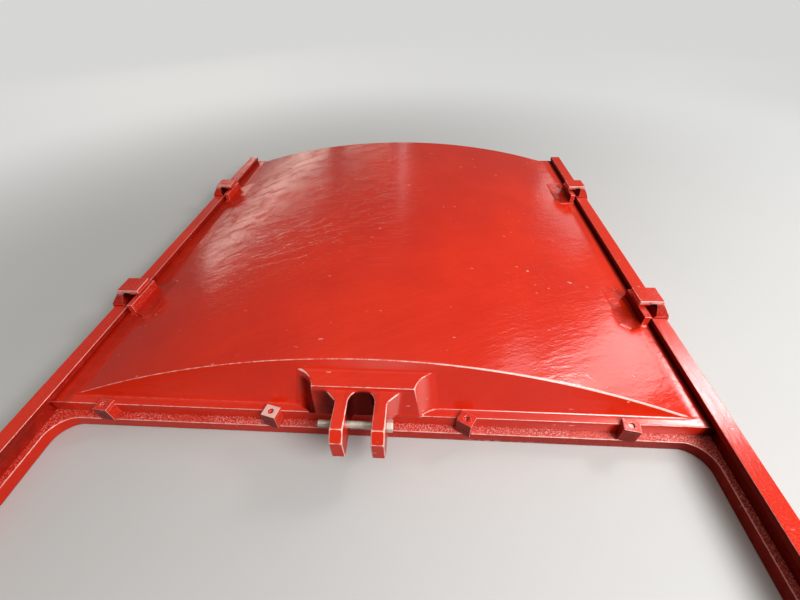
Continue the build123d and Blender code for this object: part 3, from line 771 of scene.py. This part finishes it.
def skin(field, low, high, step):
    """Surface where a field is zero, by surface nets. Each cell of a cubic grid that it crosses gets a point, the
    mean of the crossings on the cell's edges, drawn onto the surface along the field's slope; each grid edge that
    it crosses gets a face between the four cells round it. Also gives the slope and the curve at each point: the
    sum of the field a little to each side, less six times the field itself, by the square of that reach."""
    lines = [np.arange(a, b + step, step) for a, b in zip(low, high)]
    value = field(*np.meshgrid(*lines, indexing="ij", sparse=True))
    inside = value < 0
    shape = tuple(n - 1 for n in value.shape)
    total = np.zeros(shape + (3,))
    crossings = np.zeros(shape)
    for axis, onward in enumerate(np.eye(3, dtype=int)):
        for corner in np.ndindex(2, 2, 2):
            if corner[axis]:
                continue
            start, end = [tuple(slice(c, c + n) for c, n in zip(at, shape)) for at in (corner, corner + onward)]
            crossed = inside[start] != inside[end]
            here = np.where(crossed, value[start] / np.where(crossed, value[start] - value[end], 1), 0)
            for other in range(3):
                total[..., other] += here if other == axis else corner[other] * crossed
            crossings += crossed
    active = crossings > 0
    index = np.full(shape, -1)
    index[active] = np.arange(active.sum())
    cells = np.argwhere(active)
    points = np.array(low) + step * (cells + total[active] / crossings[active][:, None])
    reach = np.eye(3) * step / 4
    for _ in range(3):
        here = field(*points.T)
        slope = np.stack([(field(*(points + e).T) - field(*(points - e).T)) / (step / 2) for e in reach], axis=1)
        pull = here[:, None] * slope / np.maximum((slope**2).sum(1, keepdims=True), 0.2)
        points -= np.clip(pull, -step / 2, step / 2)
    span = 0.003
    around = sum(field(*(points + e).T) + field(*(points - e).T) for e in np.eye(3) * span)
    curve = (around - 6 * field(*points.T)) / span**2
    quads = []
    for axis in range(3):
        a, b = [other for other in range(3) if other != axis]
        start, end = [slice(1, -1)] * 3, [slice(1, -1)] * 3
        start[axis], end[axis] = slice(0, -1), slice(1, None)
        crossed = inside[tuple(start)] != inside[tuple(end)]
        cell = []
        for first, second in ((0, 0), (1, 0), (1, 1), (0, 1)):
            shifted = [slice(None)] * 3
            shifted[a] = slice(first, shape[a] - 1 + first)
            shifted[b] = slice(second, shape[b] - 1 + second)
            cell.append(index[tuple(shifted)][crossed])
        quads.append(np.stack(cell, axis=1))
    return {"points": points, "quads": np.concatenate(quads), "caps": []}, slope, curve


def lug_casting():
    """Boss and ears with their marks. Painted shade darkens it between the ears, beside the left one and in the
    left flare, up to the shelf, and faintly right of the right ear. Flanks that face right get a painted
    highlight of pale pink. Pale edges, part abraded paint and part painted highlight, grow with the surface's
    outward curve, and are added at the shelf's left tip and on both edges of the ears' noses."""
    low = (-0.245, y_ear_front - 0.008, z_ledge - 0.010)
    high = (0.245, y_wall + 0.075, z_ledge + boss_height + 0.024)
    shell, slope, curve = skin(lug, low, high, skin_step)
    x, y, z = shell["points"].T
    slot_depth = smooth((y - y_ear_front - 0.045) / 0.05) * (np.abs(x) < ear_gap / 2 + 0.012)
    beside_ear = smooth((x + 0.185) / 0.085) * (x < -ear_gap / 2 - ear_thickness) * (y > y_near - 0.040)
    in_flare = 0.95 * smooth((x + 0.212) / 0.045) * (x < -boss_foot_width / 2 + 0.012) * (y > y_near - 0.004)
    right_front = 0.12 * (np.abs(x - 0.118) < 0.038) * (y > y_near - 0.004)
    under_shelf = smooth((z_ledge + boss_height - 0.006 - z) / 0.02)
    painted_shade = np.maximum(np.maximum(slot_depth, 0.74 * beside_ear), np.maximum(in_flare, right_front)) * under_shelf
    shelf_tip = 1.2 * bell(x + 0.186, 0.016) * bell(z - z_ledge - boss_height, 0.005)
    above_nose = bell(y - y_ear_front - ear_nose, 0.0022) * (z > z_ear_top - 0.005)
    below_nose = bell(z - z_ear_top + ear_nose, 0.0022) * (y < y_ear_front + 0.005)
    on_ear = (y < y_near - 0.02) * (np.abs(z - z_pin) < 0.09)
    ear_edges = 0.7 * on_ear * np.maximum(above_nose, below_nose)
    to_right = slope[:, 0] / np.linalg.norm(slope, axis=1)
    return shell | {
        "wear": np.clip(curve / 230 - 0.12 + shelf_tip + ear_edges, 0, 1),
        "painted_shade": painted_shade,
        "bloom_and_painted_sheen": 0.8 * smooth((to_right - 0.3) / 0.4) * (x > 0.06),
    }


leaf_paint = enamel("leaf_enamel", strokes=(5.0, 1.0, 1.0), turn=0.5)
rib_spacing = (y_far - y_near - 2 * ledge) / 4
leaf_shells = [leaf_casting()]
leaf_shells += [rib(y_wall + number * rib_spacing) for number in (1, 2, 3)]
for place, side in wedge_places:
    low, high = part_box(f"{place}_wedge_block")
    leaf_shells.append(wedge_pad(side, (low.y + high.y) / 2, (high.y - low.y) / 2 + pad_overrun))
leaf_shells.append(lug_casting())
piece("leaf_panel_and_lug", leaf_shells, ["gate_leaf"], "leaf", leaf_paint)


# Lifting pin. A zinc plated hex bolt through both ears; its threaded end sticks out on the left.
clean_zinc = (0.82, 0.80, 0.68, 1)
dull_zinc = (0.58, 0.59, 0.52, 1)
rubbed_zinc = (0.8, 0.8, 0.74, 1)


def zinc():
    """Pale zinc plate, dulled by white bloom in patches."""
    material, shader, place = finish("zinc_plate")
    bloom_and_painted_sheen = between(noise(place, 55.0, 4.0, 0.65), 0.42, 0.66)
    colour = mixed(trait(place, "wear") * 0.5, mixed(bloom_and_painted_sheen, clean_zinc, dull_zinc), rubbed_zinc)
    grain = noise(place, 400.0, 2.0)
    shader.inputs["Metallic"].default_value = 0.6
    feed(shader, Base_Color=colour, Roughness=0.30 + bloom_and_painted_sheen * 0.18, Normal=relief(grain * 0.00005))
    return material


def shank(x, radius, around=40):
    """Turned rod along X whose radius is a function of the place along it and of the angle round it."""
    angle = np.linspace(0, 2 * math.pi, around, endpoint=False)
    reach = radius(x[:, None], angle)
    places = np.broadcast_arrays(x[:, None], y_pin + reach * np.cos(angle), z_pin + reach * np.sin(angle))
    index = np.arange(reach.size).reshape(reach.shape)
    return {
        "points": np.stack(places, axis=2).reshape(-1, 3),
        "quads": ring_faces(index),
        "caps": [index[0], index[-1]],
    }


def hexagon(middle, across_flats, corner_round):
    """Outline of a hex head with two corners up and down."""
    angle = np.radians(np.arange(30, 390, 60))
    reach = across_flats / math.sqrt(3)
    corners = np.stack([middle[0] + reach * np.cos(angle), middle[1] + reach * np.sin(angle)], axis=1)
    return outline(corners, corner_round, 3)


thread_pitch = 0.0025
thread_depth = 0.0014
thread_length = 0.052
head_thickness = 0.016
head_width = 0.0298
head_corner, head_edge = 0.0012, 0.0016


def pin_radius_at(x, angle):
    """Plain shank, a thread whose crest winds once round a pitch, and a chamfer at the tip."""
    phase = np.mod((x - pin_low.x) / thread_pitch + angle / (2 * math.pi), 1)
    depth = thread_depth * np.abs(2 * phase - 1) * np.clip((pin_low.x + thread_length - x) / 0.003, 0, 1)
    tip = np.clip(0.002 - (x - pin_low.x), 0, 1)
    return pin_radius - np.maximum(depth, tip)


thread_rows = np.arange(pin_low.x, pin_low.x + thread_length, thread_pitch / 6)
shank_rows = np.append(thread_rows, np.linspace(pin_low.x + thread_length, pin_high.x - head_thickness, 6))
pin_head = hexagon((y_pin, z_pin), head_width, head_corner)
pin_head = carried(pin_head, pin_high.x - head_thickness, pin_high.x, head_edge, (1, 2, 0))
piece("lifting_bolt", [shank(shank_rows, pin_radius_at), pin_head], ["lifting_pin"], "leaf", zinc())


# Wedge blocks, brackets, shoes and bolts. The blocks are small tapered castings on the leaf's pads; a hook
# shaped bracket is bolted to the rail over each, with a bronze shoe under its plate that bears on the block.
block_taper = 0.004
block_edge = 0.002
plate_thickness = 0.013
plate_length = 0.080
bracket_wall = 0.020
bracket_wall_inset = 0.007
bracket_foot_inset = 0.005
bracket_foot = 0.012
bracket_edge = 0.0022
shoe_taper = 0.002
bolt_spacing = 0.060
bolt_head = 0.024
bolt_edge = 0.0014
fitting_paint = enamel("fitting_enamel", grit=0.30, worn_and_highlit=0.9)


def hook(side, low, high):
    """Bracket: the hook's outline carried along the rail, its near end leaning back between foot and plate."""
    leg_outer = high.x if side > 0 else -low.x
    plate_inner = low.x if side > 0 else -high.x
    rail_outer = rail_high.x
    plate_foot = high.z - plate_thickness
    wall_outer = rail_outer - bracket_wall_inset
    corners = np.array(
        [
            (rail_outer, low.z),
            (leg_outer, low.z),
            (leg_outer, rail_high.z),
            (wall_outer, high.z),
            (plate_inner, high.z),
            (plate_inner, plate_foot),
            (wall_outer - bracket_wall, plate_foot),
            (rail_low.x + bracket_foot_inset, rail_high.z),
            (rail_outer, rail_high.z),
        ]
    )
    radii = np.array([0.001, 0.001, 0.002, 0.003, 0.002, 0.002, 0.004, 0.001, 0.001])
    points, normals, worn_and_highlit = outline(corners[::side] * (side, 1), radii[::side])
    levels = (rail_high.z + bracket_foot, plate_foot)
    split = []
    for start, end, normal, wear in zip(points, np.roll(points, -1, axis=0), normals, worn_and_highlit):
        split.append((start, normal, wear))
        crossed = [level for level in levels if min(start[1], end[1]) < level < max(start[1], end[1])]
        shares = sorted((level - start[1]) / (end[1] - start[1]) for level in crossed)
        split += [(start + (end - start) * share, normal, 0.0) for share in shares]
    profile = [np.array(part) for part in zip(*split)]
    lean_back = np.interp(profile[0][:, 1], levels, [low.y, high.y - plate_length])
    made = carried(profile, lean_back, high.y, bracket_edge, (0, 2, 1), bands=levels)
    x_facing, y_facing, z_facing = made["normals"].T
    height = made["points"][:, 2]
    # Painted shade on the hook's inner faces below the plate and on faces turned down; a painted highlight on the
    # plate's near end, and paler edges.
    inward = smooth(-side * x_facing * 3 - 0.6) * (height < plate_foot)
    made["painted_shade"] = np.maximum(inward, smooth(-z_facing * 3 - 0.6))
    plate_end = (y_facing < -0.6) & (height > plate_foot - 0.001)
    made["wear"] = np.maximum(made["wear"] * 1.4, 0.85 * plate_end)
    return made


for place, side in wedge_places:
    low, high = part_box(f"{place}_wedge_block")
    slab = [(low.y, low.z), (high.y, low.z), (high.y, high.z - block_taper), (low.y, high.z)]
    block = carried(outline(slab, block_edge), low.x, high.x, block_edge, (1, 2, 0))
    # Painted shade on the block's inward face, deep on the right and faint on the left.
    block["painted_shade"] = (0.95 if side > 0 else 0.2) * smooth(-side * block["normals"][:, 0] * 2 - 0.6)
    piece(f"{place}_block", [block], [f"{place}_wedge_block"], "leaf", fitting_paint)

    hook_low, hook_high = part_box(f"{place}_wedge_bracket")
    bracket = hook(side, hook_low, hook_high)
    piece(f"{place}_hook", [bracket], [f"{place}_wedge_bracket"], "frame", fitting_paint)

    low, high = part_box(f"{place}_wedge_shoe")
    slab = [(low.y, low.z + shoe_taper), (high.y, low.z), (high.y, high.z), (low.y, high.z)]
    shoe = carried(outline(slab, bronze_edge, 3), low.x, high.x, bronze_edge, (1, 2, 0), steps=3)
    made = piece(f"{place}_shoe", [shoe], [f"{place}_wedge_shoe"], "frame", strip_bronze)
    made.data.materials.append(fitting_paint)
    painted = [int(face.normal.z > -0.5) for face in made.data.polygons]
    made.data.polygons.foreach_set("material_index", painted)

    low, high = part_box(f"{place}_bracket_bolts")
    ends = (hook_high.x, high.x) if side > 0 else (low.x, hook_low.x)
    z_bolt = (low.z + high.z) / 2
    heads = []
    for step in (-bolt_spacing / 2, bolt_spacing / 2):
        bolt = hexagon(((low.y + high.y) / 2 + step, z_bolt), bolt_head, head_corner)
        heads.append(carried(bolt, *ends, bolt_edge, (1, 2, 0)))
    piece(f"{place}_bolts", heads, [f"{place}_bracket_bolts"], "frame", fitting_paint)


# Cleats. Four small steel blocks turned a little over the leaf's near edge, each held by a socket screw in a
# hole, the last by a plain pale bolt end. Painted with the gate, and rubbed to a chalky pink on some of the tops.
cleat_length, cleat_width = 0.046, 0.038
cleat_turns = (-5.0, -14.0, -31.0, -10.0)
cleat_rubbing = (0.55, 1.25, 0.0, 0.40)
cleat_corner, cleat_edge = 0.0015, 0.0016
leg_corner, leg_edge = 0.0012, 0.0008
leg_overlap = 0.001
cleat_hole = 0.0083
screw_radius = 0.0078
screw_head = 0.006
screw_edge = 0.0007
socket, socket_corner = 0.0075, 0.0003


def turned_corners(middle, size, degrees):
    """Corners of a rectangle turned about its middle, anticlockwise."""
    turn = math.radians(degrees)
    flat = np.array([(-1, -1), (1, -1), (1, 1), (-1, 1)]) * size / 2
    axes = np.array([(math.cos(turn), math.sin(turn)), (-math.sin(turn), math.cos(turn))])
    return np.array(middle) + flat @ axes


def cut_off(corners, y_limit):
    """The part of a convex outline that lies before a line across Y."""
    kept = []
    for start, end in zip(corners, np.roll(corners, -1, axis=0)):
        if start[1] < y_limit:
            kept.append(start)
        if (start[1] < y_limit) != (end[1] < y_limit):
            kept.append(start + (end - start) * (y_limit - start[1]) / (end[1] - start[1]))
    return np.array(kept)


def round_hole(middle, radius, count=28):
    """Outline of a round hole, run clockwise, its normals towards its middle."""
    angle = -np.linspace(0, 2 * math.pi, count, endpoint=False)
    away = np.stack([np.cos(angle), np.sin(angle)], axis=1)
    return np.array(middle) + radius * away, -away, np.zeros(count)


def reversed_outline(profile):
    """The same outline as a hole."""
    points, normals, worn_and_highlit = profile
    return points[::-1], -normals[::-1], worn_and_highlit[::-1]


screws = []
z_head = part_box("cleat_screws")[1].z
for number, (turn, rubbing) in enumerate(zip(cleat_turns, cleat_rubbing), start=1):
    low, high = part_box(f"leaf_cleat_{number}")
    middle = ((low.x + high.x) / 2, (low.y + high.y) / 2)
    plate = turned_corners(middle, (cleat_length, cleat_width), turn)
    hole = round_hole(middle, cleat_hole)
    cap = carried(outline(plate, cleat_corner), z_ledge, high.z, cleat_edge, (0, 1, 2), holes=[hole])
    leg = outline(cut_off(plate, y_near), leg_corner)
    leg = carried(leg, low.z, z_ledge + leg_overlap, leg_edge, (0, 1, 2))
    cap["wear"] = np.maximum(cap["wear"], rubbing * (cap["normals"][:, 2] > 0.6))
    # Painted shade on the faces turned left and towards the near end.
    for part in (cap, leg):
        part["painted_shade"] = 0.58 * smooth(-part["normals"][:, 0] * 1.6 - part["normals"][:, 1] * 0.95 - 0.25)
    piece(f"cleat_{number}", [cap, leg], [f"leaf_cleat_{number}"], "leaf", fitting_paint)
    plain_end = number == len(cleat_turns)
    rim = reversed_outline(round_hole(middle, screw_radius))
    key = reversed_outline(hexagon(middle, socket, socket_corner))
    head = carried(rim, z_head - screw_head, z_head, screw_edge, (0, 1, 2), holes=[] if plain_end else [key])
    head["wear"] = np.maximum(head["wear"], 1.2 * plain_end)
    screws += [head, carried(rim, low.z, z_head - screw_head + leg_overlap, 0.0002, (0, 1, 2))]
piece("cleat_screw_heads", screws, ["cleat_screws"], "leaf", fitting_paint)


# Floor, light and camera. A pale floor under soft studio light, and the camera where the photograph was taken:
# a little over a metre up, in front of the hoist end, looking down along the gate through a wide lens.
def shown(place, mirrored):
    """How much of a backdrop's own brightness shows: all to the camera, and a share in what mirrors it."""
    camera_ray = place.node("ShaderNodeLightPath", {}, {}, "Is Camera Ray")
    glossy_ray = place.node("ShaderNodeLightPath", {}, {}, "Is Glossy Ray")
    return place.maths("MAXIMUM", camera_ray, glossy_ray * mirrored)


floor_reach, floor_level = 30, -0.001
floor_mesh = bpy.data.meshes.new("floor")
floor_corners = [(x * floor_reach, y * floor_reach, floor_level) for x, y in ((-1, -1), (1, -1), (1, 1), (-1, 1))]
floor_mesh.from_pydata(floor_corners, [], [(0, 1, 2, 3)])
floor = bpy.data.objects.new("floor", floor_mesh)
scene.collection.objects.link(floor)
floor_material, floor_shader, floor_place = finish("pale_floor")
floor_shader.inputs["Roughness"].default_value = 0.7
seen = shown(floor_place, 0.2)
cloudy = noise(floor_place, 1.4, 5.0)
distance = floor_place.node("ShaderNodeVectorMath", {"operation": "LENGTH"}, {0: floor_place}, "Value")
far_off = between(distance, 1.0, 4.2)
pale = mixed(cloudy, (0.54, 0.54, 0.53, 1), (0.58, 0.58, 0.57, 1))
pale = mixed(far_off, pale, (0.12, 0.12, 0.12, 1))
unseen = mixed(cloudy, (0.15, 0.15, 0.147, 1), (0.18, 0.18, 0.177, 1))
floor_glow = mixed(seen * far_off, (0, 0, 0, 1), (0.62, 0.62, 0.61, 1))
floor_shader.inputs["Emission Strength"].default_value = 1.0
feed(floor_shader, Base_Color=mixed(seen, unseen, pale), Emission_Color=floor_glow)
floor_mesh.materials.append(floor_material)

world = bpy.data.worlds.new("studio")
scene.world = world
world.use_nodes = True
background = world.node_tree.nodes["Background"]
direction = Wire(world.node_tree).node("ShaderNodeTexCoord", {}, {}, "Generated")
upward = direction.node("ShaderNodeSeparateXYZ", {}, {0: direction}, "Z")
upward = upward.maths("MAXIMUM", upward, 0.0)
glow = 0.10 + upward * upward * upward * upward * 0.55
backdrop = shown(direction, 0.1)
glow = glow + backdrop * (0.72 - glow)
world.node_tree.links.new(glow.socket, background.inputs["Strength"])
colour = mixed(backdrop, (1.0, 0.95, 0.88, 1), (1.0, 1.0, 0.98, 1))
world.node_tree.links.new(colour.socket, background.inputs["Color"])


def lamp(name, place, target, size, watts, colour=(1, 1, 1)):
    """Soft rectangular lamp at a place, turned to a target."""
    light = bpy.data.lights.new(name, "AREA")
    light.shape = "RECTANGLE"
    light.size, light.size_y = size
    light.energy = watts
    light.color = colour
    made = bpy.data.objects.new(name, light)
    away = Vector(place) - Vector(target)
    made.matrix_world = Matrix.Translation(place) @ away.to_track_quat("Z", "Y").to_matrix().to_4x4()
    made.visible_camera = False
    scene.collection.objects.link(made)


lamp("front_window", (2.3, -2.25, 2.6), (0.2, -0.2, 0.15), (2.4, 1.8), 160)
lamp("right_window", (3.8, 2.0, 1.95), (0.75, -0.25, 0.15), (1.0, 2.2), 22)
lamp("right_skylight", (2.6, 1.5, 3.0), (0.75, -0.45, 0.1), (1.5, 0.9), 11)
lamp("bright_pane", (2.9, 1.2, 2.5), (0.93, -0.42, 0.12), (0.7, 0.5), 21)
warm = (1.0, 0.85, 0.73)
for row, (height, watts) in enumerate(((1.20, 4.4), (1.36, 11.6), (1.53, 5.8)), start=1):
    lamp(f"far_left_window_{row}", (-3.72, 5.43, height), (-0.6, 0.8, 0.2), (3.5, 0.17), watts, warm)
    lamp(f"far_middle_window_{row}", (-1.2, 6.4, height + 0.2), (-0.2, 0.9, 0.2), (1.25, 0.17), watts / 6.5, warm)
lamp("far_doorway", (-0.25, 6.8, 2.4), (0.1, 1.2, 0.2), (0.18, 2.6), 1.5)
lamp("far_right_window", (3.9, 5.5, 1.1), (0.9, 0.8, 0.1), (1.4, 0.7), 3)

camera_place = (0.160, -1.050, 1.077)
pitch, yaw, roll = 42.26, -4.56, 1.86
camera = bpy.data.objects.new("camera", bpy.data.cameras.new("camera"))
camera.data.lens, camera.data.sensor_width = 16.71, 36
turn = Matrix.Rotation(math.radians(-yaw), 4, "Z") @ Matrix.Rotation(math.radians(90 - pitch), 4, "X")
camera.matrix_world = Matrix.Translation(camera_place) @ turn @ Matrix.Rotation(math.radians(-roll), 4, "Z")
scene.collection.objects.link(camera)
scene.camera = camera
scene.view_settings.view_transform = "Standard"
